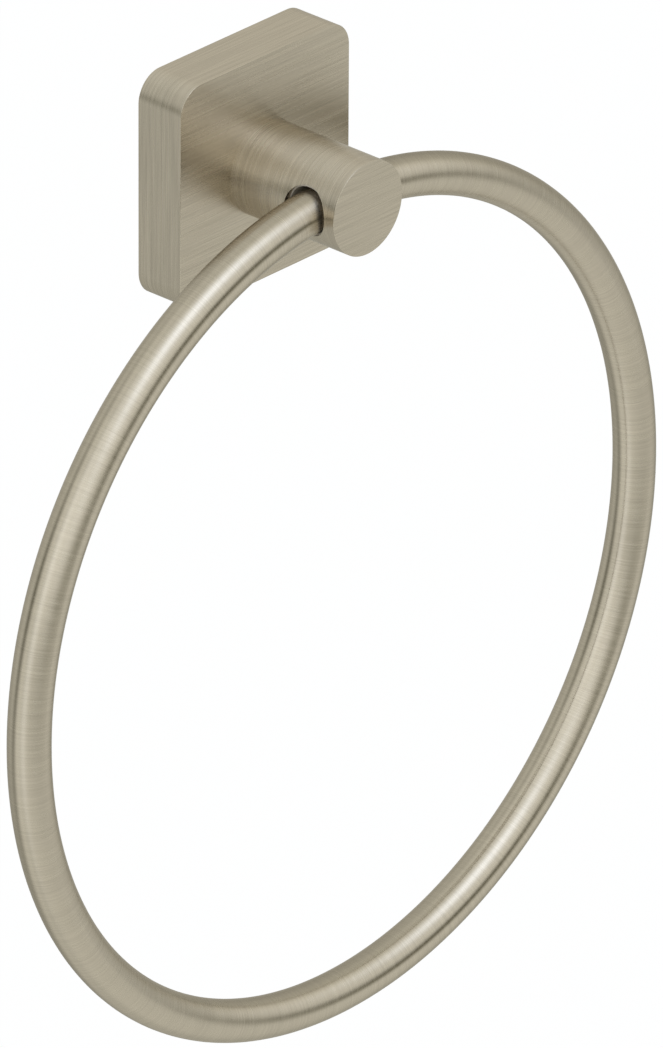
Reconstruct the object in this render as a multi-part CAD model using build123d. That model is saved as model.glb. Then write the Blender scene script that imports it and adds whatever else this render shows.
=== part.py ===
from build123d import *
import math
import os

# A towel ring on a square wall plate, in millimetres.
# The wall is the plane y = 0, the room lies towards -y, and +z is up.
# The origin is the centre of the plate on the wall, on the axis of the post.
# A depth is a distance out from the wall, so depth d lies at y = -d.

# Wall plate
PLATE_SIZE = 44.0
PLATE_DEPTH = 10.2
PLATE_CORNER_RADIUS = 5.4
PLATE_EDGE_BREAK = 0.04
PLATE_SIDE_WALL = 2.4
PLATE_FRONT_WALL = 3.0

# Post, with a double-D spigot that keys it in the plate
POST_DIAMETER = 18.0
POST_LENGTH = 24.9
POST_EDGE_BREAK = 0.04
SPIGOT_DIAMETER = 8.0
SPIGOT_FLATS = 6.6
SPIGOT_SHORTFALL = 0.3
SPIGOT_CLEARANCE = 0.05

# Ring, and the thin liner that it hangs in
RING_INSIDE_DIAMETER = 152.0
RING_ROD_DIAMETER = 8.0
RING_TO_POST_END = 7.1
RING_PLAY = 0.5
RING_REST_GAP = 0.05
BUSH_WALL = 0.3
BUSH_CLEARANCE = 0.02

# Screw and washers that hold the post to the plate
POST_SCREW_DIAMETER = 5.0
POST_SCREW_LENGTH = 12.0
POST_SCREW_HEAD_DIAMETER = 9.0
POST_SCREW_HEAD_HEIGHT = 2.2
POST_SCREW_HEAD_BREAK = 0.5
POST_SCREW_KEY = 3.0
POST_SCREW_KEY_DEPTH = 1.4
POST_SCREW_TIP_SPACE = 1.8
DRILL_POINT_ANGLE = 118.0
THREAD_CLEARANCE = 0.05
CLAMP_WASHER_DIAMETER = 14.0
CLAMP_WASHER_THICKNESS = 0.8
CLAMP_WASHER_CLEARANCE = 0.2
LOCK_WASHER_DIAMETER = 9.0
LOCK_WASHER_THICKNESS = 1.0
LOCK_WASHER_CLEARANCE = 0.1
LOCK_WASHER_SLIT = 0.9
LOCK_WASHER_SLIT_ANGLE = 25.0

# Folded bracket that is screwed to the wall
BRACKET_WIDTH = 30.0
BRACKET_THICKNESS = 1.5
BRACKET_BEND_RADIUS = 0.8
BRACKET_CORNER_RADIUS = 2.0
BRACKET_FLANGE_REACH = 4.6
BRACKET_TO_PLATE_WALL = 3.2
WALL_HOLE_DIAMETER = 4.6
WALL_HOLE_SPACING = 20.0

# Hook lug at the top of the plate and set screw at its bottom
LUG_WIDTH = 12.0
LUG_START_DEPTH = 0.8
LUG_END_DEPTH = 5.0
LUG_TOE = 1.4
HOOK_GAP = 0.05
SET_SCREW_DIAMETER = 4.0
SET_SCREW_LENGTH = 6.0
SET_SCREW_END_BREAK = 0.4
SET_SCREW_DEPTH = 3.4
SET_SCREW_KEY = 2.0
SET_SCREW_KEY_DEPTH = 2.0
SET_SCREW_POINT_GAP = 0.03
BOSS_WIDTH = 8.0
BOSS_START_DEPTH = 0.8
BOSS_TO_FLANGE = 0.8

# Positions that follow from the sizes
ROOT_OF_2 = math.sqrt(2.0)
CAVITY_DEPTH = PLATE_DEPTH - PLATE_FRONT_WALL
CAVITY_HALF = PLATE_SIZE / 2 - PLATE_SIDE_WALL
POST_END_DEPTH = PLATE_DEPTH + POST_LENGTH
RING_DEPTH = POST_END_DEPTH - RING_TO_POST_END
RING_RADIUS = (RING_INSIDE_DIAMETER + RING_ROD_DIAMETER) / 2
BUSH_BORE_RADIUS = RING_ROD_DIAMETER / 2 + RING_PLAY
CROSS_HOLE_RADIUS = BUSH_BORE_RADIUS + BUSH_WALL + BUSH_CLEARANCE
BUSH_HALF_LENGTH = math.sqrt((POST_DIAMETER / 2) ** 2 - CROSS_HOLE_RADIUS**2)
ROD_DROP_AT_BUSH_END = RING_RADIUS - math.sqrt(RING_RADIUS**2 - BUSH_HALF_LENGTH**2)
RING_HANG = RING_PLAY - ROD_DROP_AT_BUSH_END - RING_REST_GAP
WASHER_SEAT_DEPTH = CAVITY_DEPTH - CLAMP_WASHER_THICKNESS
HEAD_SEAT_DEPTH = WASHER_SEAT_DEPTH - LOCK_WASHER_THICKNESS
POST_SCREW_TIP_DEPTH = HEAD_SEAT_DEPTH + POST_SCREW_LENGTH
BRACKET_FLANGE_TIP = CAVITY_HALF - BRACKET_TO_PLATE_WALL
BRACKET_FLAT_HALF = BRACKET_FLANGE_TIP - BRACKET_FLANGE_REACH
SET_SCREW_TIP = BRACKET_FLAT_HALF + SET_SCREW_DEPTH + SET_SCREW_POINT_GAP * ROOT_OF_2


def wall_plane(depth=0.0):
    """A plane parallel to the wall; shapes drawn on it extrude out into the room."""
    return Plane.XZ.offset(depth)


def disc(radius, start_depth, end_depth):
    """A round bar on the axis of the post, between two depths."""
    return extrude(wall_plane(start_depth) * Circle(radius), end_depth - start_depth)


def double_d(diameter, flats):
    """A circle with two upright flats."""
    return Circle(diameter / 2) & Rectangle(flats, diameter)


def side_profile(points, width):
    """A (depth, height) outline, extruded to a width that is centred on x = 0."""
    outline = Polyline(*[(-depth, height) for depth, height in points], close=True)
    return extrude(Plane.YZ * make_face(outline), width / 2, both=True)


def upright_hole(radius, depth, low, high):
    """A vertical bar at a depth, between two heights."""
    return Pos(0, -depth, (low + high) / 2) * Cylinder(radius, high - low)


def hook_lug():
    """A wedge under the plate's top wall that sits on the back of the upper flange."""
    slope = BRACKET_FLAT_HALF + HOOK_GAP * ROOT_OF_2
    root = CAVITY_HALF + PLATE_SIDE_WALL / 2
    outline = [
        (LUG_START_DEPTH, root),
        (LUG_START_DEPTH, slope + LUG_TOE),
        (LUG_TOE, slope + LUG_TOE),
        (LUG_END_DEPTH, slope + LUG_END_DEPTH),
        (LUG_END_DEPTH, root),
    ]
    return side_profile(outline, LUG_WIDTH)


def set_screw_boss():
    """A block on the plate's bottom wall that gives the set screw its thread."""
    root = -CAVITY_HALF - PLATE_SIDE_WALL / 2
    top = -BRACKET_FLANGE_TIP - BOSS_TO_FLANGE
    front = CAVITY_DEPTH + PLATE_FRONT_WALL / 2
    outline = [
        (BOSS_START_DEPTH, root),
        (BOSS_START_DEPTH, top),
        (front, top),
        (front, root),
    ]
    return side_profile(outline, BOSS_WIDTH)


def make_escutcheon():
    """The hollow square plate, with its hook lug, its boss and its two holes."""
    outside = RectangleRounded(PLATE_SIZE, PLATE_SIZE, PLATE_CORNER_RADIUS)
    plate = extrude(wall_plane() * outside, PLATE_DEPTH)
    plate = chamfer(plate.edges().group_by(Axis.Y)[0], PLATE_EDGE_BREAK)
    inside_radius = PLATE_CORNER_RADIUS - PLATE_SIDE_WALL
    inside = RectangleRounded(2 * CAVITY_HALF, 2 * CAVITY_HALF, inside_radius)
    plate -= extrude(wall_plane() * inside, CAVITY_DEPTH)
    plate += hook_lug()
    plate += set_screw_boss()
    key = double_d(SPIGOT_DIAMETER + 2 * SPIGOT_CLEARANCE, SPIGOT_FLATS + 2 * SPIGOT_CLEARANCE)
    plate -= extrude(wall_plane(CAVITY_DEPTH) * key, PLATE_FRONT_WALL)
    hole_radius = SET_SCREW_DIAMETER / 2 + THREAD_CLEARANCE
    plate -= upright_hole(hole_radius, SET_SCREW_DEPTH, -PLATE_SIZE / 2, -BRACKET_FLANGE_TIP)
    return plate


def tapped_hole(start_depth):
    """The blind hole for the post screw, with the cone that the drill leaves at its end."""
    radius = POST_SCREW_DIAMETER / 2 + THREAD_CLEARANCE
    end_depth = POST_SCREW_TIP_DEPTH + POST_SCREW_TIP_SPACE
    point = radius / math.tan(math.radians(DRILL_POINT_ANGLE / 2))
    outline = Polyline(
        (0, -start_depth),
        (radius, -start_depth),
        (radius, -end_depth),
        (0, -end_depth - point),
        close=True,
    )
    return revolve(make_face(outline), Axis.Y)


def make_post():
    """The turned post, with its spigot, tapped hole and cross hole."""
    post = disc(POST_DIAMETER / 2, PLATE_DEPTH, POST_END_DEPTH)
    post = chamfer(post.edges().group_by(Axis.Y)[0], POST_EDGE_BREAK)
    spigot_depth = CAVITY_DEPTH + SPIGOT_SHORTFALL
    spigot = wall_plane(spigot_depth) * double_d(SPIGOT_DIAMETER, SPIGOT_FLATS)
    post += extrude(spigot, PLATE_DEPTH - spigot_depth)
    post -= tapped_hole(spigot_depth)
    cross_hole = Cylinder(CROSS_HOLE_RADIUS, 2 * POST_DIAMETER, rotation=(0, 90, 0))
    post -= Pos(0, -RING_DEPTH, 0) * cross_hole
    return post


def make_ring():
    """The closed ring of round rod, hanging in the liner's bore."""
    centre = Pos(0, -RING_DEPTH, -RING_RADIUS - RING_HANG)
    return centre * Torus(RING_RADIUS, RING_ROD_DIAMETER / 2, rotation=(90, 0, 0))


def make_ring_bush():
    """The thin liner of the cross hole; its flat ends stay inside the round post."""
    outside = Cylinder(BUSH_BORE_RADIUS + BUSH_WALL, 2 * BUSH_HALF_LENGTH, rotation=(0, 90, 0))
    bore = Cylinder(BUSH_BORE_RADIUS, 3 * BUSH_HALF_LENGTH, rotation=(0, 90, 0))
    return Pos(0, -RING_DEPTH, 0) * (outside - bore)


def make_clamp_washer():
    """The plain washer that spans the spigot hole behind the plate's front wall."""
    bore = POST_SCREW_DIAMETER / 2 + CLAMP_WASHER_CLEARANCE
    washer = disc(CLAMP_WASHER_DIAMETER / 2, WASHER_SEAT_DEPTH, CAVITY_DEPTH)
    return washer - disc(bore, WASHER_SEAT_DEPTH, CAVITY_DEPTH)


def make_lock_washer():
    """The split spring washer, pressed flat, with its slanted slit."""
    bore = POST_SCREW_DIAMETER / 2 + LOCK_WASHER_CLEARANCE
    washer = disc(LOCK_WASHER_DIAMETER / 2, HEAD_SEAT_DEPTH, WASHER_SEAT_DEPTH)
    washer -= disc(bore, HEAD_SEAT_DEPTH, WASHER_SEAT_DEPTH)
    middle = (HEAD_SEAT_DEPTH + WASHER_SEAT_DEPTH) / 2
    slit = Box(LOCK_WASHER_SLIT, 4 * LOCK_WASHER_THICKNESS, LOCK_WASHER_DIAMETER / 2)
    slit = Rot(0, 0, LOCK_WASHER_SLIT_ANGLE) * slit
    return washer - Pos(0, -middle, LOCK_WASHER_DIAMETER / 4 + bore / 2) * slit


def make_post_screw():
    """The low-head screw that pulls the post against the plate."""
    head_top = HEAD_SEAT_DEPTH - POST_SCREW_HEAD_HEIGHT
    head = disc(POST_SCREW_HEAD_DIAMETER / 2, head_top, HEAD_SEAT_DEPTH)
    head = chamfer(head.edges().group_by(Axis.Y)[-1], POST_SCREW_HEAD_BREAK)
    shank = disc(POST_SCREW_DIAMETER / 2, HEAD_SEAT_DEPTH, POST_SCREW_TIP_DEPTH)
    shank = chamfer(shank.edges().group_by(Axis.Y)[0], POST_SCREW_DIAMETER / 8)
    key = RegularPolygon(POST_SCREW_KEY / 2, 6, major_radius=False)
    return head + shank - extrude(wall_plane(head_top) * key, POST_SCREW_KEY_DEPTH)


def fold_edges(strip, depth, height):
    """The upper and the lower fold line of the strip at a depth."""
    return [
        edge
        for edge in strip.edges().filter_by(Axis.X)
        if abs(edge.center().Y + depth) < 1e-6 and abs(abs(edge.center().Z) - height) < 1e-6
    ]


def bracket_strip():
    """The folded strip: a flat back, and two flanges that lean out into the room."""
    tip = BRACKET_THICKNESS / ROOT_OF_2
    fold = BRACKET_FLAT_HALF - BRACKET_THICKNESS * (ROOT_OF_2 - 1)
    upper = [
        (0.0, BRACKET_FLAT_HALF),
        (BRACKET_FLANGE_REACH, BRACKET_FLANGE_TIP),
        (BRACKET_FLANGE_REACH + tip, BRACKET_FLANGE_TIP - tip),
        (BRACKET_THICKNESS, fold),
    ]
    lower = [(depth, -height) for depth, height in reversed(upper)]
    strip = side_profile(upper + lower, BRACKET_WIDTH)
    strip = fillet(fold_edges(strip, 0.0, BRACKET_FLAT_HALF), BRACKET_BEND_RADIUS + BRACKET_THICKNESS)
    return fillet(fold_edges(strip, BRACKET_THICKNESS, fold), BRACKET_BEND_RADIUS)


def make_wall_bracket():
    """The bracket with rounded flange corners and its two wall-screw holes."""
    height = 2 * BRACKET_FLANGE_TIP
    outline = RectangleRounded(BRACKET_WIDTH, height, BRACKET_CORNER_RADIUS)
    bracket = bracket_strip() & extrude(wall_plane() * outline, PLATE_DEPTH)
    for side in (-1, 1):
        hole = Pos(side * WALL_HOLE_SPACING / 2, 0, 0) * disc(
            WALL_HOLE_DIAMETER / 2, 0.0, BRACKET_THICKNESS
        )
        bracket -= hole
    return bracket


def make_set_screw():
    """The cone-point screw; its cone lies against the slope of the lower flange."""
    radius = SET_SCREW_DIAMETER / 2
    outline = Polyline(
        (0, -SET_SCREW_LENGTH),
        (radius - SET_SCREW_END_BREAK, -SET_SCREW_LENGTH),
        (radius, SET_SCREW_END_BREAK - SET_SCREW_LENGTH),
        (radius, -radius),
        (0, 0),
        close=True,
    )
    screw = revolve(Plane.XZ * make_face(outline), Axis.Z)
    key = RegularPolygon(SET_SCREW_KEY / 2, 6, major_radius=False)
    screw -= Pos(0, 0, -SET_SCREW_LENGTH) * extrude(key, SET_SCREW_KEY_DEPTH)
    return Pos(0, -SET_SCREW_DEPTH, -SET_SCREW_TIP) * screw


NODES = {
    "escutcheon": make_escutcheon,
    "post": make_post,
    "ring": make_ring,
    "ring_bush": make_ring_bush,
    "post_screw": make_post_screw,
    "lock_washer": make_lock_washer,
    "clamp_washer": make_clamp_washer,
    "wall_bracket": make_wall_bracket,
    "set_screw": make_set_screw,
}

os.makedirs("parts", exist_ok=True)
for name, make in NODES.items():
    export_step(make(), f"parts/{name}.step")
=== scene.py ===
import math

import bmesh
import bpy
from mathutils import Euler, Matrix, Vector


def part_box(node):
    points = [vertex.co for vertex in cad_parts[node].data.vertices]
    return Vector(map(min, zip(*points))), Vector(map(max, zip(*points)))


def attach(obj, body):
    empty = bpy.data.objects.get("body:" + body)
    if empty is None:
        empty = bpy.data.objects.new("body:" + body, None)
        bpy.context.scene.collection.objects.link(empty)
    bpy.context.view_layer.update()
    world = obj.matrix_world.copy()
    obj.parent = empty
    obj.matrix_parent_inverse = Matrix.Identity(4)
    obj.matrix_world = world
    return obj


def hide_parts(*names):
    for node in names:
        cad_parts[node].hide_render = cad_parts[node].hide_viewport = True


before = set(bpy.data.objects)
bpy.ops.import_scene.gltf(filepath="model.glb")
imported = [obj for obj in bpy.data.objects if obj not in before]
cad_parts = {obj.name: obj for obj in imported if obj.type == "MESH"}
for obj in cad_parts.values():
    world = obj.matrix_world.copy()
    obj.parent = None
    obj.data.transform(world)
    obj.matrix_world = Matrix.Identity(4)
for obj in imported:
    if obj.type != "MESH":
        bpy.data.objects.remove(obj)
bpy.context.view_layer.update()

# Sizes of the ring, in metres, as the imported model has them
RING_LOW, RING_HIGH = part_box("ring")
RING_CENTRE = (RING_LOW + RING_HIGH) / 2
ROD_RADIUS = (RING_HIGH.y - RING_LOW.y) / 2
RING_RADIUS = (RING_HIGH.x - RING_LOW.x) / 2 - ROD_RADIUS
RING_STEPS = 288
ROD_STEPS = 48

# The hollow behind the wall plate
CAVITY_HALF = 0.0197
CAVITY_FLOOR = -0.0073
CAVITY_MOUTH = -0.0001

# Screw threads: outer radius, pitch, number of turns and the plain end left at the tip
POST_SCREW_RADIUS = 0.0025
POST_SCREW_PITCH = 0.0008
POST_SCREW_TURNS = 13.5
POST_SCREW_PLAIN = 0.0007
SET_SCREW_RADIUS = 0.002
SET_SCREW_PITCH = 0.0007
SET_SCREW_TURNS = 5.0
SET_SCREW_PLAIN = 0.00205

# Ridge of a thread: steps in a turn, corners of its section and the share that stands out of the core
THREAD_STEPS = 48
RIDGE_CORNERS = 4
THREAD_SHOWN = 0.85

# Smooth shading: edges sharper than this stay crisp, and large faces bend the shading least
SHARP_ANGLE = math.radians(35)
MERGE_DISTANCE = 1e-6
LARGE_FACE_WEIGHT = 100

# Brushed nickel: colour and colour at a glancing angle
NICKEL_COLOUR = (0.474, 0.423, 0.339)
NICKEL_GLANCE = (0.82, 0.79, 0.75)

# Brushing of the ring, and of the plate with the post:
# how deep the lines shade, roughness and how far a highlight is stretched
RING_BRUSHING = (0.095, 0.26, 0.915)
PLATE_BRUSHING = (0.14, 0.265, 0.90)

# Brush lines and the wider scratches: how many to the metre across and along the brushing
LINES_ACROSS = 3900.0
LINES_ALONG = 60.0
SCRATCHES_ACROSS = 1400.0
SCRATCHES_ALONG = 45.0

# What the scratches do to tone and roughness, and the height of the brush lines
SCRATCH_TONE = 0.04
SCRATCH_ROUGHNESS = 0.03
BRUSH_HEIGHT = 0.00005

# Faces turned this far to the front or back are brushed across
FRONT_FACING = 0.75

# Plain finishes: colour, roughness, metal, shine, grains to the metre and depth of the grain
CASTING = ((0.30, 0.285, 0.25), 0.5, 1.0, 0.5, 900.0, 0.25)
ZINC = ((0.42, 0.44, 0.46), 0.36, 1.0, 0.5, 500.0, 0.12)
STEEL = ((0.45, 0.45, 0.46), 0.28, 1.0, 0.5, 1500.0, 0.08)
ACETAL = ((0.40, 0.36, 0.30), 0.55, 0.0, 0.15, 1200.0, 0.05)

# What the grain does to tone and roughness, and its height
GRAIN_TONE = 0.07
GRAIN_ROUGHNESS = 0.04
GRAIN_HEIGHT = 0.0001

# Noise: detail and roughness of fine and soft noise, and the part of its range that is used
FINE_NOISE = (3.0, 0.6)
SOFT_NOISE = (2.0, 0.5)
NOISE_LOW = 0.25
NOISE_HIGH = 0.75

# Directions
POST_AXIS = (0.0, 1.0, 0.0)
UP = (0.0, 0.0, 1.0)

# Viewpoint of the photograph, with its angles in radians
VIEW_AZIMUTH = -0.827366
VIEW_ELEVATION = 0.466800
VIEW_ROLL = 0.004712
VIEW_DISTANCE = 3.32146
VIEW_AIM = Vector((0.003796, -0.023211, -0.068111))
VIEW_LENS = 636.168
VIEW_SENSOR = 36.0
VIEW_NEAR = 0.1
VIEW_FAR = 20.0

# The white of the studio, the least light from any side and the white that is seen
STUDIO_WHITE = (0.97, 0.99, 0.95)
LEAST_LIGHT = (0.02, 0.02, 0.02)
PLAIN_WHITE = (1.0, 1.0, 1.0, 1.0)

# Soft boxes of the studio: azimuth, elevation, width and height in degrees, and strength
TOP_BOX = (-1.0, 53.5, 15.5, 13.5, (1.48, 1.70, 2.20))
FRONT_BOX = (5.0, 12.0, 90.0, 26.5, (0.79, 0.82, 0.85))
LEFT_STRIP = (-79.0, 9.0, 11.5, 33.0, (0.34, 0.37, 0.44))
RIGHT_BOX = (74.0, 43.0, 20.0, 27.0, (0.54, 0.54, 0.50))
LOW_FILL = (48.0, -27.0, 10.0, 20.0, (0.07, 0.07, 0.07))
FLOOR_FILL = (150.0, -78.0, 40.0, 26.0, (0.05, 0.05, 0.05))
LEFT_FILL = (-98.0, -15.0, 16.0, 20.0, (0.06, 0.06, 0.06))
RIGHT_FILL = (100.0, 18.0, 16.0, 10.0, (0.09, 0.09, 0.09))
HIGH_FILL = (-95.0, 71.0, 20.0, 9.0, (0.15, 0.15, 0.15))

# Dark flags of the studio, given like the boxes
LOW_FLAG = (-15.0, -10.5, 78.0, 7.2, (-0.93, -0.96, -1.00))
SMALL_FLAG = (33.5, 3.6, 3.5, 6.5, (-0.70, -0.72, -0.68))
RIGHT_FLAG = (66.0, 24.5, 75.0, 36.5, (-0.77, -0.80, -0.81))
BACK_FLAG = (150.0, -41.0, 51.0, 22.0, (-0.38, -0.38, -0.37))

# Dark bands towards the wall: angle behind the wall plane, width and spread in degrees, and strength;
# a spread of many turns makes a band even all around
WALL_FLAG = (40.0, 8.5, 42.0, (-0.65, -0.67, -0.67))
WALL_SHADE = (3.0, 8.0, 1500.0, (-0.15, -0.15, -0.15))

STUDIO_BOXES = (
    TOP_BOX,
    FRONT_BOX,
    LEFT_STRIP,
    RIGHT_BOX,
    LOW_FILL,
    FLOOR_FILL,
    LEFT_FILL,
    RIGHT_FILL,
    HIGH_FILL,
)
STUDIO_FLAGS = (LOW_FLAG, SMALL_FLAG, RIGHT_FLAG, BACK_FLAG)
STUDIO_BANDS = (WALL_FLAG, WALL_SHADE)

# Lamp that lights the plate and the post from behind
LAMP_AZIMUTH = 135.0
LAMP_ELEVATION = 31.0
LAMP_DISTANCE = 0.50
LAMP_WIDE = 1.2
LAMP_HIGH = 0.7
LAMP_POWER = 0.85
LAMP_FADE = 8.0
LAMP_MIDDLE = (0.5, 0.5, 0.0)

# Floor: height, half its width, colour and the share of plain white in what is seen of it
FLOOR_HEIGHT = -0.32
FLOOR_HALF = 3.0
FLOOR_COLOUR = (0.9, 0.9, 0.9, 1.0)
FLOOR_GLOW = 0.9


def link_object(name, data):
    """A new object at the origin that holds a mesh, lamp or camera."""
    piece = bpy.data.objects.new(name, data)
    bpy.context.scene.collection.objects.link(piece)
    return piece


def set_axes(thing, right, up, back, place):
    """Turns an object to three axes and puts it in its place."""
    thing.matrix_world = Matrix((right, up, back)).transposed().to_4x4()
    thing.location = place


def finished_mesh(piece):
    """Turns a piece with modifiers into one plain mesh."""
    bpy.context.view_layer.update()
    evaluated = piece.evaluated_get(bpy.context.evaluated_depsgraph_get())
    mesh = bpy.data.meshes.new_from_object(evaluated)
    piece.modifiers.clear()
    piece.data = mesh


def direction(azimuth, elevation):
    """A direction out of the object, by degrees; azimuth 0 is the room side, + to the right."""
    turn = math.radians(azimuth)
    rise = math.radians(elevation)
    level = math.cos(rise)
    return Vector((level * math.sin(turn), -level * math.cos(turn), math.sin(rise)))


# Nodes


def add(tree, kind, **settings):
    """One node, with its settings."""
    node = tree.nodes.new(kind)
    for key, value in settings.items():
        setattr(node, key, value)
    return node


def feed(tree, socket, value):
    """Links a socket to the output that is given, or sets it to a plain value."""
    if isinstance(value, bpy.types.NodeSocket):
        tree.links.new(value, socket)
    else:
        socket.default_value = value


def connect(tree, links):
    """Links each output to its input."""
    for source, target in links:
        tree.links.new(source, target)


def vector_math(tree, operation, first, second=None):
    """A function of one or two vectors, given as sockets or plain values."""
    node = add(tree, "ShaderNodeVectorMath", operation=operation)
    feed(tree, node.inputs[0], first)
    if second is not None:
        feed(tree, node.inputs[1], second)
    return node.outputs["Value" if operation in ("DOT_PRODUCT", "LENGTH") else "Vector"]


def math_node(tree, operation, first, second=None):
    """A function of one or two numbers, given as sockets or plain values."""
    node = add(tree, "ShaderNodeMath", operation=operation)
    feed(tree, node.inputs[0], first)
    if second is not None:
        feed(tree, node.inputs[1], second)
    return node.outputs[0]


def scaled(tree, vector, factor):
    """A vector times a plain number."""
    return vector_math(tree, "MULTIPLY", vector, (factor,) * 3)


def tinted(tree, colour, strength):
    """A plain colour times a strength that varies."""
    node = add(tree, "ShaderNodeVectorMath", operation="SCALE")
    node.inputs[0].default_value = colour
    tree.links.new(strength, node.inputs["Scale"])
    return node.outputs["Vector"]


def noise(tree, vector, detail, roughness):
    """Noise of about one feature to the unit of its vector."""
    node = add(tree, "ShaderNodeTexNoise", noise_dimensions="3D")
    node.inputs["Scale"].default_value = 1.0
    node.inputs["Detail"].default_value = detail
    node.inputs["Roughness"].default_value = roughness
    tree.links.new(vector, node.inputs["Vector"])
    return node.outputs["Fac"]


def spread(tree, value, middle, reach):
    """Spreads the used part of a noise to both sides of a middle value."""
    node = add(tree, "ShaderNodeMapRange")
    node.inputs["From Min"].default_value = NOISE_LOW
    node.inputs["From Max"].default_value = NOISE_HIGH
    node.inputs["To Min"].default_value = middle - reach
    node.inputs["To Max"].default_value = middle + reach
    tree.links.new(value, node.inputs["Value"])
    return node.outputs["Result"]


def relief(tree, height, depth, distance):
    """The normal of a surface with a fine relief."""
    node = add(tree, "ShaderNodeBump")
    node.inputs["Strength"].default_value = depth
    node.inputs["Distance"].default_value = distance
    tree.links.new(height, node.inputs["Height"])
    return node.outputs["Normal"]


def mix_vectors(tree, factor, first, second):
    """One vector or the other."""
    node = add(tree, "ShaderNodeMix", data_type="VECTOR")
    tree.links.new(factor, node.inputs["Factor"])
    feed(tree, node.inputs[4], first)
    feed(tree, node.inputs[5], second)
    return node.outputs[1]


def mix_shaders(tree, factor, first, second):
    """One shader or the other."""
    node = add(tree, "ShaderNodeMixShader")
    tree.links.new(factor, node.inputs["Fac"])
    tree.links.new(first, node.inputs[1])
    tree.links.new(second, node.inputs[2])
    return node.outputs["Shader"]


def to_world(tree, vector):
    """A direction of the piece, turned with the piece."""
    node = add(tree, "ShaderNodeVectorTransform", vector_type="VECTOR")
    node.convert_from = "OBJECT"
    node.convert_to = "WORLD"
    tree.links.new(vector, node.inputs["Vector"])
    return node.outputs["Vector"]


def seen_directly(tree):
    """1 for rays that come from the camera or through something clear, else 0."""
    path = add(tree, "ShaderNodeLightPath")
    return math_node(tree, "MAXIMUM", path.outputs["Is Camera Ray"], path.outputs["Is Transmission Ray"])


def end_with(tree, kind, shader):
    """Shows a shader at the tree's output."""
    output = add(tree, kind)
    tree.links.new(shader, output.inputs["Surface"])


# Finishes


def new_material(name):
    """An empty material and its node tree."""
    material = bpy.data.materials.new(name)
    material.use_nodes = True
    material.node_tree.nodes.clear()
    return material, material.node_tree


def show_surface(tree, inputs):
    """The surface itself, with its inputs by name."""
    surface = add(tree, "ShaderNodeBsdfPrincipled")
    for name, value in inputs.items():
        feed(tree, surface.inputs[name], value)
    end_with(tree, "ShaderNodeOutputMaterial", surface.outputs["BSDF"])


def brushed_surface(tree, lines_vector, scratches_vector, tangent, depth, roughness, stretch):
    """Nickel with fine lines: they shade its colour, its gloss and its relief."""
    lines = noise(tree, lines_vector, *FINE_NOISE)
    scratches = noise(tree, scratches_vector, *SOFT_NOISE)
    lines_tone = spread(tree, lines, 1.0, depth)
    scratches_tone = spread(tree, scratches, 1.0, SCRATCH_TONE)
    tone = math_node(tree, "MULTIPLY", lines_tone, scratches_tone)
    inputs = {
        "Base Color": tinted(tree, NICKEL_COLOUR, tone),
        "Metallic": 1.0,
        "Roughness": spread(tree, scratches, roughness, SCRATCH_ROUGHNESS),
        "Normal": relief(tree, lines, depth, BRUSH_HEIGHT),
        "Specular Tint": (*NICKEL_GLANCE, 1.0),
        "Anisotropic": stretch,
        "Tangent": to_world(tree, tangent),
    }
    show_surface(tree, inputs)


def ring_nickel():
    """Nickel brushed around the rod, all the way along the ring."""
    material, tree = new_material("brushed_nickel_ring")
    place = add(tree, "ShaderNodeTexCoord").outputs["Object"]
    from_centre = vector_math(tree, "SUBTRACT", place, RING_CENTRE)
    flat = vector_math(tree, "MULTIPLY", from_centre, (1.0, 0.0, 1.0))
    outward = vector_math(tree, "NORMALIZE", flat)

    def stretched(across, along):
        arc = scaled(tree, outward, RING_RADIUS * across)
        return vector_math(tree, "ADD", arc, scaled(tree, from_centre, along))

    lines = stretched(LINES_ACROSS, LINES_ALONG)
    scratches = stretched(SCRATCHES_ACROSS, SCRATCHES_ALONG)
    tangent = vector_math(tree, "CROSS_PRODUCT", outward, POST_AXIS)
    brushed_surface(tree, lines, scratches, tangent, *RING_BRUSHING)
    return material


def plate_nickel():
    """Nickel brushed across the front faces, and around the sides of plate and post."""
    material, tree = new_material("brushed_nickel_plate")
    source = add(tree, "ShaderNodeTexCoord")
    place = source.outputs["Object"]
    facing = add(tree, "ShaderNodeSeparateXYZ")
    tree.links.new(source.outputs["Normal"], facing.inputs[0])
    turned = math_node(tree, "ABSOLUTE", facing.outputs["Y"])
    front = math_node(tree, "GREATER_THAN", turned, FRONT_FACING)

    def stretched(across, along):
        side = vector_math(tree, "MULTIPLY", place, (along, across, along))
        face = vector_math(tree, "MULTIPLY", place, (along, along, across))
        return mix_vectors(tree, front, side, face)

    lines = stretched(LINES_ACROSS, LINES_ALONG)
    scratches = stretched(SCRATCHES_ACROSS, SCRATCHES_ALONG)
    tangent = mix_vectors(tree, front, POST_AXIS, UP)
    brushed_surface(tree, lines, scratches, tangent, *PLATE_BRUSHING)
    return material


def plain_surface(name, colour, roughness, metal, shine, grain, depth):
    """A surface with a fine even grain in its tone, gloss and relief."""
    material, tree = new_material(name)
    place = add(tree, "ShaderNodeTexCoord").outputs["Object"]
    speckle = noise(tree, scaled(tree, place, grain), *FINE_NOISE)
    inputs = {
        "Base Color": tinted(tree, colour, spread(tree, speckle, 1.0, GRAIN_TONE)),
        "Metallic": metal,
        "Roughness": spread(tree, speckle, roughness, GRAIN_ROUGHNESS),
        "Normal": relief(tree, speckle, depth, GRAIN_HEIGHT),
        "Specular IOR Level": shine,
    }
    show_surface(tree, inputs)
    return material


# Geometry trees


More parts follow.
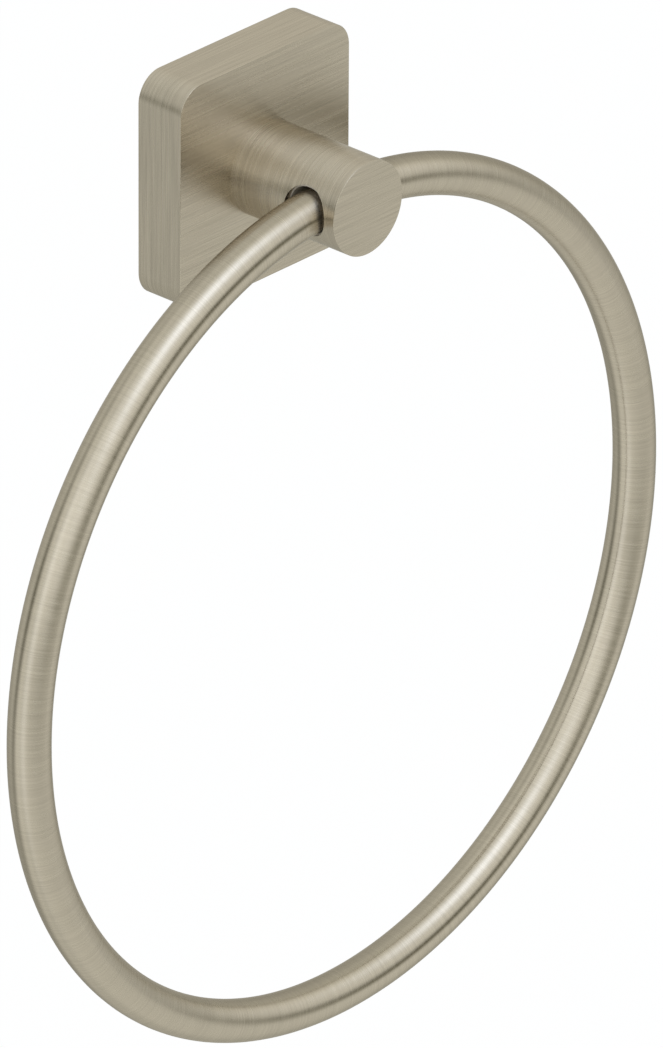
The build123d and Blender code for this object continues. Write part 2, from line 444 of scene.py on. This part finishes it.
def new_geometry_tree(name, sizes):
    """An empty tree with named inputs and one output; gives the tree and its inputs."""
    tree = bpy.data.node_groups.new(name, "GeometryNodeTree")
    for label, kind in sizes:
        tree.interface.new_socket(label, in_out="INPUT", socket_type=kind)
    tree.interface.new_socket("Geometry", in_out="OUTPUT", socket_type="NodeSocketGeometry")
    return tree, tree.nodes.new("NodeGroupInput").outputs


def end_geometry(tree, shape, material):
    """Makes the shape real, lays its finish on it and gives it out."""
    real = add(tree, "GeometryNodeRealizeInstances")
    finish = add(tree, "GeometryNodeSetMaterial")
    output = add(tree, "NodeGroupOutput")
    links = (
        (shape, real.inputs["Geometry"]),
        (real.outputs["Geometry"], finish.inputs["Geometry"]),
        (material, finish.inputs["Material"]),
        (finish.outputs["Geometry"], output.inputs["Geometry"]),
    )
    connect(tree, links)


def use_tree(piece, tree, **values):
    """Adds a tree to a piece and sets its inputs, which are named with low lines for spaces."""
    modifier = piece.modifiers.new(tree.name, "NODES")
    modifier.node_group = tree
    for item in tree.interface.items_tree:
        key = item.name.replace(" ", "_").lower()
        if item.in_out == "INPUT" and key in values:
            modifier[item.identifier] = values[key]


def ring_tree():
    """Sweeps the rod's round section along the ring's circle."""
    sizes = (
        ("Ring Radius", "NodeSocketFloat"),
        ("Rod Radius", "NodeSocketFloat"),
        ("Ring Steps", "NodeSocketInt"),
        ("Rod Steps", "NodeSocketInt"),
        ("Centre", "NodeSocketVector"),
        ("Finish", "NodeSocketMaterial"),
    )
    tree, given = new_geometry_tree("swept_ring", sizes)
    circle = add(tree, "GeometryNodeCurvePrimitiveCircle", mode="RADIUS")
    section = add(tree, "GeometryNodeCurvePrimitiveCircle", mode="RADIUS")
    sweep = add(tree, "GeometryNodeCurveToMesh")
    place = add(tree, "GeometryNodeTransform")
    place.inputs["Rotation"].default_value = (math.pi / 2, 0.0, 0.0)
    smooth = add(tree, "GeometryNodeSetShadeSmooth")
    links = (
        (given["Ring Radius"], circle.inputs["Radius"]),
        (given["Ring Steps"], circle.inputs["Resolution"]),
        (given["Rod Radius"], section.inputs["Radius"]),
        (given["Rod Steps"], section.inputs["Resolution"]),
        (circle.outputs["Curve"], sweep.inputs["Curve"]),
        (section.outputs["Curve"], sweep.inputs["Profile Curve"]),
        (sweep.outputs["Mesh"], place.inputs["Geometry"]),
        (given["Centre"], place.inputs["Translation"]),
        (place.outputs["Geometry"], smooth.inputs["Geometry"]),
    )
    connect(tree, links)
    end_geometry(tree, smooth.outputs["Geometry"], given["Finish"])
    return tree


def thread_tree():
    """Winds a sharp ridge around the core of a screw."""
    sizes = (
        ("Screw", "NodeSocketGeometry"),
        ("Radius", "NodeSocketFloat"),
        ("Ridge", "NodeSocketFloat"),
        ("Turns", "NodeSocketFloat"),
        ("Length", "NodeSocketFloat"),
        ("Steps", "NodeSocketInt"),
        ("Start", "NodeSocketVector"),
        ("Lean", "NodeSocketVector"),
        ("Finish", "NodeSocketMaterial"),
    )
    tree, given = new_geometry_tree("screw_thread", sizes)
    helix = add(tree, "GeometryNodeCurveSpiral")
    helix.inputs["Reverse"].default_value = True
    upright = add(tree, "GeometryNodeSetCurveNormal", mode="Z_UP")
    section = add(tree, "GeometryNodeCurvePrimitiveCircle", mode="RADIUS")
    section.inputs["Resolution"].default_value = RIDGE_CORNERS
    sweep = add(tree, "GeometryNodeCurveToMesh")
    sweep.inputs["Fill Caps"].default_value = True
    place = add(tree, "GeometryNodeTransform")
    ridge_finish = add(tree, "GeometryNodeSetMaterial")
    join = add(tree, "GeometryNodeJoinGeometry")
    links = (
        (given["Steps"], helix.inputs["Resolution"]),
        (given["Turns"], helix.inputs["Rotations"]),
        (given["Radius"], helix.inputs["Start Radius"]),
        (given["Radius"], helix.inputs["End Radius"]),
        (given["Length"], helix.inputs["Height"]),
        (given["Ridge"], section.inputs["Radius"]),
        (helix.outputs["Curve"], upright.inputs["Curve"]),
        (upright.outputs["Curve"], sweep.inputs["Curve"]),
        (section.outputs["Curve"], sweep.inputs["Profile Curve"]),
        (sweep.outputs["Mesh"], place.inputs["Geometry"]),
        (given["Start"], place.inputs["Translation"]),
        (given["Lean"], place.inputs["Rotation"]),
        (place.outputs["Geometry"], ridge_finish.inputs["Geometry"]),
        (given["Finish"], ridge_finish.inputs["Material"]),
        (ridge_finish.outputs["Geometry"], join.inputs["Geometry"]),
        (given["Screw"], join.inputs["Geometry"]),
    )
    connect(tree, links)
    end_geometry(tree, join.outputs["Geometry"], given["Finish"])
    return tree


# Pieces


def make_ring():
    """The hanging ring as one smooth sweep."""
    piece = link_object("towel_ring", bpy.data.meshes.new("towel_ring"))
    use_tree(
        piece,
        ring_tree(),
        ring_radius=RING_RADIUS,
        rod_radius=ROD_RADIUS,
        ring_steps=RING_STEPS,
        rod_steps=ROD_STEPS,
        centre=RING_CENTRE,
        finish=ring_nickel(),
    )
    finished_mesh(piece)
    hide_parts("ring")
    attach(piece, "towel_ring")


def smooth_copy(node, name):
    """A joined-up copy of a node whose round faces shade smoothly and whose flats stay flat."""
    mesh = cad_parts[node].data.copy()
    mesh.name = name
    mesh.materials.clear()
    shape = bmesh.new()
    shape.from_mesh(mesh)
    bmesh.ops.remove_doubles(shape, verts=shape.verts, dist=MERGE_DISTANCE)
    for face in shape.faces:
        face.smooth = True
        face.material_index = 0
    for edge in shape.edges:
        edge.smooth = len(edge.link_faces) == 2 and edge.calc_face_angle() < SHARP_ANGLE
    shape.to_mesh(mesh)
    shape.free()
    piece = link_object(name, mesh)
    weighted = piece.modifiers.new("flat_faces_first", "WEIGHTED_NORMAL")
    weighted.keep_sharp = True
    weighted.weight = LARGE_FACE_WEIGHT
    return piece


def draw_in_shank(mesh, place, radius, core, headed):
    """Draws a plain shank in to the root of its thread; its chamfers keep their slope."""
    back = place.inverted()

    def on_shank(vertex):
        return abs((back @ vertex.co).xy.length - radius) < MERGE_DISTANCE

    shank = [vertex for vertex in mesh.vertices if on_shank(vertex)]
    middle = sum((back @ vertex.co).z for vertex in shank) / len(shank)
    for vertex in shank:
        spot = back @ vertex.co
        if spot.z > middle:
            spot.z += radius - core
        elif not headed:
            spot.z -= radius - core
        spot.xy *= core / radius
        vertex.co = place @ spot


def cut_thread(piece, tip, lean, radius, pitch, turns, plain, headed, finish):
    """Gives a screw a real thread inside its outer radius; the screw points along its leaned Z axis."""
    ridge = pitch / 2
    length = pitch * turns
    place = Matrix.LocRotScale(tip, Euler(lean), None)
    draw_in_shank(piece.data, place, radius, radius - THREAD_SHOWN * ridge, headed)
    use_tree(
        piece,
        thread_tree(),
        radius=radius - ridge,
        ridge=ridge,
        turns=turns,
        length=length,
        steps=THREAD_STEPS,
        start=place @ Vector((0.0, 0.0, -plain - length)),
        lean=lean,
        finish=finish,
    )


def thread_post_screw(piece, finish):
    """The thread of the screw that holds the post; it points into the room."""
    tip = Vector((0.0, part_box("post_screw")[0].y, 0.0))
    lean = (math.pi / 2, 0.0, 0.0)
    sizes = (POST_SCREW_RADIUS, POST_SCREW_PITCH, POST_SCREW_TURNS, POST_SCREW_PLAIN)
    cut_thread(piece, tip, lean, *sizes, True, finish)


def thread_set_screw(piece, finish):
    """The thread of the screw that locks the plate; it points up."""
    low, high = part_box("set_screw")
    tip = Vector((0.0, (low.y + high.y) / 2, high.z))
    lean = (0.0, 0.0, 0.0)
    sizes = (SET_SCREW_RADIUS, SET_SCREW_PITCH, SET_SCREW_TURNS, SET_SCREW_PLAIN)
    cut_thread(piece, tip, lean, *sizes, False, finish)


def in_cavity(point):
    """True inside the hollow behind the wall plate."""
    deep = CAVITY_FLOOR < point.y < CAVITY_MOUTH
    return deep and abs(point.x) < CAVITY_HALF and abs(point.z) < CAVITY_HALF


def lay_finish(piece, materials):
    """The first finish all over; a second one in the hollow behind the wall plate."""
    for material in materials:
        piece.data.materials.append(material)
    if len(materials) > 1:
        for polygon in piece.data.polygons:
            polygon.material_index = int(in_cavity(polygon.center))


def stand_for(piece, node):
    """The piece shows in place of a node of the fixed wall assembly."""
    finished_mesh(piece)
    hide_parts(node)
    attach(piece, "wall_assembly")


def make_fixed_pieces():
    """Everything that stays on the wall, each piece with its own finish."""
    nickel = plate_nickel()
    casting = plain_surface("satin_casting", *CASTING)
    zinc = plain_surface("zinc_plating", *ZINC)
    steel = plain_surface("bright_steel", *STEEL)
    acetal = plain_surface("smooth_acetal", *ACETAL)
    finishes = {
        "escutcheon": ("wall_plate", "brushed_nickel", (nickel, casting)),
        "post": ("ring_post", "brushed_nickel", (nickel, casting)),
        "ring_bush": ("ring_liner", "acetal", (acetal,)),
        "post_screw": ("post_fixing_screw", "screw_steel", (steel,)),
        "lock_washer": ("spring_washer", "screw_steel", (steel,)),
        "clamp_washer": ("plain_washer", "screw_steel", (steel,)),
        "wall_bracket": ("folded_bracket", "zinc_plated_steel", (zinc,)),
        "set_screw": ("plate_set_screw", "screw_steel", (steel,)),
    }
    threads = {"post_screw": thread_post_screw, "set_screw": thread_set_screw}
    pieces = {}
    for node, (name, slot, materials) in finishes.items():
        piece = smooth_copy(node, name)
        lay_finish(piece, materials)
        if node in threads:
            threads[node](piece, *materials)
        stand_for(piece, node)
        pieces[node] = piece
    return pieces


# Light


def square_of_share(tree, angle, width):
    """How many widths an angle is from the middle, squared."""
    share = math_node(tree, "DIVIDE", angle, math.radians(width))
    return math_node(tree, "MULTIPLY", share, share)


def faded(tree, distance, colour):
    """A colour that fades out in a bell curve, by the squared distance from its middle."""
    fall = math_node(tree, "EXPONENT", math_node(tree, "MULTIPLY", distance, -0.5))
    return tinted(tree, colour, fall)


def soft_patch(tree, ray, azimuth, elevation, wide, high, colour):
    """A soft-edged patch of light or dark in the surroundings, sized in degrees."""
    middle = direction(azimuth, elevation)
    right = direction(azimuth + 90.0, 0.0)
    across = vector_math(tree, "DOT_PRODUCT", ray, right)
    ahead = vector_math(tree, "DOT_PRODUCT", ray, middle)
    above = vector_math(tree, "DOT_PRODUCT", ray, middle.cross(right))
    turn = square_of_share(tree, math_node(tree, "ARCTAN2", across, ahead), wide)
    rise = square_of_share(tree, math_node(tree, "ARCSINE", above), high)
    return faded(tree, math_node(tree, "ADD", turn, rise), colour)


def soft_band(tree, ray, rise, width, spread_angle, colour):
    """A soft band around the axis of the post, deepest on the left, sized in degrees."""
    parts = add(tree, "ShaderNodeSeparateXYZ")
    tree.links.new(ray, parts.inputs[0])
    behind = math_node(tree, "ARCSINE", parts.outputs["Y"])
    height = math_node(tree, "SUBTRACT", behind, math.radians(rise))
    left = math_node(tree, "MULTIPLY", parts.outputs["X"], -1.0)
    turn = math_node(tree, "ARCTAN2", parts.outputs["Z"], left)
    height_share = square_of_share(tree, height, width)
    turn_share = square_of_share(tree, turn, spread_angle)
    return faded(tree, math_node(tree, "ADD", height_share, turn_share), colour)


def make_studio():
    """A white sweep with soft boxes and dark flags; the camera sees only plain white."""
    world = bpy.data.worlds.new("studio")
    bpy.context.scene.world = world
    world.use_nodes = True
    tree = world.node_tree
    tree.nodes.clear()
    ray = add(tree, "ShaderNodeTexCoord").outputs["Generated"]
    light = STUDIO_WHITE
    for patch in STUDIO_BOXES + STUDIO_FLAGS:
        light = vector_math(tree, "ADD", light, soft_patch(tree, ray, *patch))
    for band in STUDIO_BANDS:
        light = vector_math(tree, "ADD", light, soft_band(tree, ray, *band))
    light = vector_math(tree, "MAXIMUM", light, LEAST_LIGHT)
    boxes = add(tree, "ShaderNodeBackground")
    tree.links.new(light, boxes.inputs["Color"])
    sweep = add(tree, "ShaderNodeBackground")
    sweep.inputs["Color"].default_value = PLAIN_WHITE
    shown = (boxes.outputs["Background"], sweep.outputs["Background"])
    end_with(tree, "ShaderNodeOutputWorld", mix_shaders(tree, seen_directly(tree), *shown))


def fading_lamp():
    """A rectangle of light that fades out towards its edges."""
    lamp = bpy.data.lights.new("plate_lamp", "AREA")
    lamp.shape = "RECTANGLE"
    lamp.size = LAMP_WIDE
    lamp.size_y = LAMP_HIGH
    lamp.energy = LAMP_POWER
    lamp.use_nodes = True
    tree = lamp.node_tree
    tree.nodes.clear()
    place = add(tree, "ShaderNodeNewGeometry").outputs["Parametric"]
    share = vector_math(tree, "LENGTH", vector_math(tree, "SUBTRACT", place, LAMP_MIDDLE))
    fall = math_node(tree, "MULTIPLY", math_node(tree, "MULTIPLY", share, share), -LAMP_FADE)
    glow = add(tree, "ShaderNodeEmission")
    tree.links.new(math_node(tree, "EXPONENT", fall), glow.inputs["Strength"])
    end_with(tree, "ShaderNodeOutputLight", glow.outputs["Emission"])
    return lamp


def make_lamp(pieces):
    """A soft box behind the plate that lights only these pieces."""
    lamp = link_object("plate_lamp", fading_lamp())
    out = direction(LAMP_AZIMUTH, LAMP_ELEVATION)
    across = Vector(POST_AXIS).cross(out).normalized()
    set_axes(lamp, across, out.cross(across), out, out * LAMP_DISTANCE)
    lamp.visible_camera = False
    lit = bpy.data.collections.new("lit_by_plate_lamp")
    for piece in pieces:
        lit.objects.link(piece)
    lamp.light_linking.receiver_collection = lit


# Floor and camera


def floor_material():
    """A pale floor that is nearly white from above, keeps a soft shadow and is clear from below."""
    material, tree = new_material("pale_floor")
    surface = add(tree, "ShaderNodeBsdfDiffuse")
    surface.inputs["Color"].default_value = FLOOR_COLOUR
    glow = add(tree, "ShaderNodeEmission")
    glow.inputs["Color"].default_value = PLAIN_WHITE
    glow_share = math_node(tree, "MULTIPLY", seen_directly(tree), FLOOR_GLOW)
    above = mix_shaders(tree, glow_share, surface.outputs["BSDF"], glow.outputs["Emission"])
    clear = add(tree, "ShaderNodeBsdfTransparent")
    below = add(tree, "ShaderNodeNewGeometry").outputs["Backfacing"]
    either = mix_shaders(tree, below, above, clear.outputs["BSDF"])
    end_with(tree, "ShaderNodeOutputMaterial", either)
    return material


def make_floor():
    """The plain floor below the ring; light passes it, so the studio reaches the metal from below."""
    mesh = bpy.data.meshes.new("floor")
    signs = ((-1, -1), (1, -1), (1, 1), (-1, 1))
    corners = [(x * FLOOR_HALF, y * FLOOR_HALF, FLOOR_HEIGHT) for x, y in signs]
    mesh.from_pydata(corners, [], [(0, 1, 2, 3)])
    mesh.materials.append(floor_material())
    floor = link_object("floor", mesh)
    floor.visible_glossy = False
    floor.visible_shadow = False


def make_camera():
    """The camera at the photograph's viewpoint, level but for a slight roll."""
    lens = bpy.data.cameras.new("camera")
    lens.lens = VIEW_LENS
    lens.sensor_width = VIEW_SENSOR
    lens.clip_start = VIEW_NEAR
    lens.clip_end = VIEW_FAR
    back = direction(math.degrees(VIEW_AZIMUTH), math.degrees(VIEW_ELEVATION))
    level = Vector((math.cos(VIEW_AZIMUTH), math.sin(VIEW_AZIMUTH), 0.0))
    right = level * math.cos(VIEW_ROLL) + back.cross(level) * math.sin(VIEW_ROLL)
    camera = link_object("camera", lens)
    set_axes(camera, right, back.cross(right), back, VIEW_AIM + back * VIEW_DISTANCE)
    bpy.context.scene.camera = camera


make_ring()
fixed = make_fixed_pieces()
make_studio()
make_lamp((fixed["escutcheon"], fixed["post"]))
make_floor()
make_camera()
bpy.context.scene.view_settings.view_transform = "Standard"
